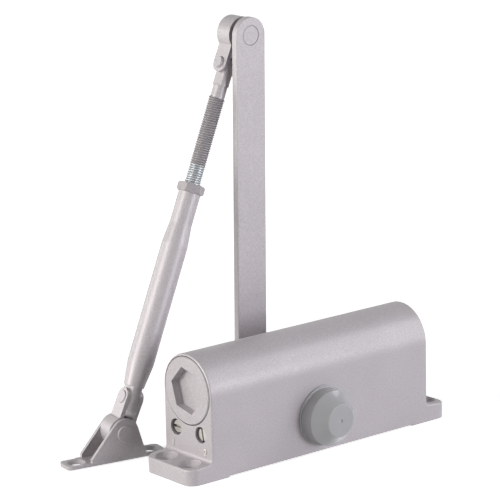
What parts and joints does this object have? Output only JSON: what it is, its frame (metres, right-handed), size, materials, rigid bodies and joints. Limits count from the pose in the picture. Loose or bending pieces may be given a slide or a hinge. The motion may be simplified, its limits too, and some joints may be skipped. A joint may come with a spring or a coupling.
{
  "type": "door closer",
  "caption": "Surface-mounted hydraulic door closer: round-topped body with drilled feet, rack and pinion inside, and a jointed lever arm with adjustable forearm and fixing shoe.",
  "frame": {"origin": "centre of the four body mounting holes, on the mounting face of the body", "axes": "+X along the body away from the speed valves, +Y towards the lever arm, +Z out of the mounting face"},
  "size_m": [0.208, 0.0913, 0.2248],
  "materials": {
    "painted_casting": "fine-grained silver paint on cast aluminium",
    "painted_steel": "fine-grained silver paint on steel",
    "zinc_steel": "bright zinc",
    "ground_steel": "ground, oiled",
    "cast_iron": "turned, oiled",
    "bearing_bronze": "sintered",
    "gland_steel": "turned",
    "moulded_plastic": "satin",
    "bush_plastic": "plain",
    "seal_rubber": "moulded"
  },
  "bodies": {
    "housing": {"housing": "painted_casting", "valve_end_plug": "painted_casting", "valve_end_seal": "seal_rubber", "spring_end_plug": "painted_casting", "spring_end_seal": "seal_rubber", "front_bearing": "bearing_bronze", "back_bearing": "bearing_bronze", "front_seal": "seal_rubber", "back_seal": "seal_rubber", "front_gland": "gland_steel", "back_gland": "gland_steel", "closing_spring": "ground_steel"},
    "spindle": {"pinion": "ground_steel", "arm_hub": "painted_steel", "main_arm": "painted_steel", "arm_screw": "zinc_steel", "arm_washer": "zinc_steel", "elbow_pin": "painted_steel", "elbow_washer": "bush_plastic"},
    "piston": {"piston": "cast_iron", "check_retainer": "ground_steel"},
    "check_ball": {"check_ball": "ground_steel"},
    "sweep_valve": {"sweep_valve": "zinc_steel", "sweep_valve_seal": "seal_rubber"},
    "latch_valve": {"latch_valve": "zinc_steel", "latch_valve_seal": "seal_rubber"},
    "pinion_cap": {"pinion_cap": "moulded_plastic"},
    "elbow_link": {"elbow_link": "painted_steel", "elbow_bush": "bush_plastic", "upper_rivet": "painted_steel"},
    "rod": {"threaded_rod": "zinc_steel"},
    "sleeve": {"sleeve": "painted_steel"},
    "lock_nut": {"lock_nut": "painted_steel"},
    "shoe_link": {"shoe_link": "painted_steel", "shoe_bush": "bush_plastic", "lower_rivet": "painted_steel"},
    "shoe": {"shoe": "painted_steel", "shoe_pin": "painted_steel"}
  },
  "joints": [
    {"name": "spindle_turn", "type": "hinge", "parent": "housing", "child": "spindle", "pos_m": [0, 0, 0.0199], "axis": [0, 1, 0], "range_deg": [0, 150], "stiffness_Nm_per_rad": 4, "springref_deg": -57.3},
    {"name": "piston_slide", "type": "slide", "parent": "housing", "child": "piston", "axis": [1, 0, 0], "range_m": [0, 0.02749], "deforming": ["closing_spring"]},
    {"name": "check_lift", "type": "slide", "parent": "piston", "child": "check_ball", "axis": [-1, 0, 0], "range_m": [0, 0.0006]},
    {"name": "sweep_set", "type": "hinge", "parent": "housing", "child": "sweep_valve", "pos_m": [-0.0736, 0.01018, 0.02287], "axis": [1, 0, 0], "range_deg": [-360, 360]},
    {"name": "latch_set", "type": "hinge", "parent": "housing", "child": "latch_valve", "pos_m": [-0.0736, -0.01018, 0.02287], "axis": [1, 0, 0], "range_deg": [-360, 360]},
    {"name": "cap_pull", "type": "slide", "parent": "housing", "child": "pinion_cap", "axis": [0, -1, 0], "range_m": [0, 0.015]},
    {"name": "elbow_turn", "type": "hinge", "parent": "spindle", "child": "elbow_link", "pos_m": [0.00375, 0.0499, 0.21506], "axis": [0, 1, 0], "range_deg": [-5, 150]},
    {"name": "rod_tilt", "type": "hinge", "parent": "elbow_link", "child": "rod", "pos_m": [-0.00348, 0.0499, 0.19891], "axis": [0.9128, 0, -0.4083], "range_deg": [-3, 15]},
    {"name": "sleeve_slide", "type": "slide", "parent": "rod", "child": "sleeve", "axis": [-0.4082, -0.0297, -0.9124], "range_m": [-0.02, 0.01]},
    {"name": "nut_turn", "type": "hinge", "parent": "sleeve", "child": "lock_nut", "pos_m": [-0.0314, 0.04787, 0.1365], "axis": [-0.4082, -0.0297, -0.9124], "continuous": true},
    {"name": "shoe_tilt", "type": "hinge", "parent": "sleeve", "child": "shoe_link", "pos_m": [-0.07844, 0.04445, 0.03132], "axis": [-0.9031, 0.1592, 0.3988], "range_deg": [-8, 8]},
    {"name": "shoe_turn", "type": "hinge", "parent": "shoe_link", "child": "shoe", "pos_m": [-0.08543, 0.04568, 0.015], "axis": [0.1736, 0.9848, 0], "range_deg": [-39, 85]}
  ],
  "couplings": [
    {"joint": "piston_slide", "follows": "spindle_turn", "m_per_rad": 0.0105}
  ]
}
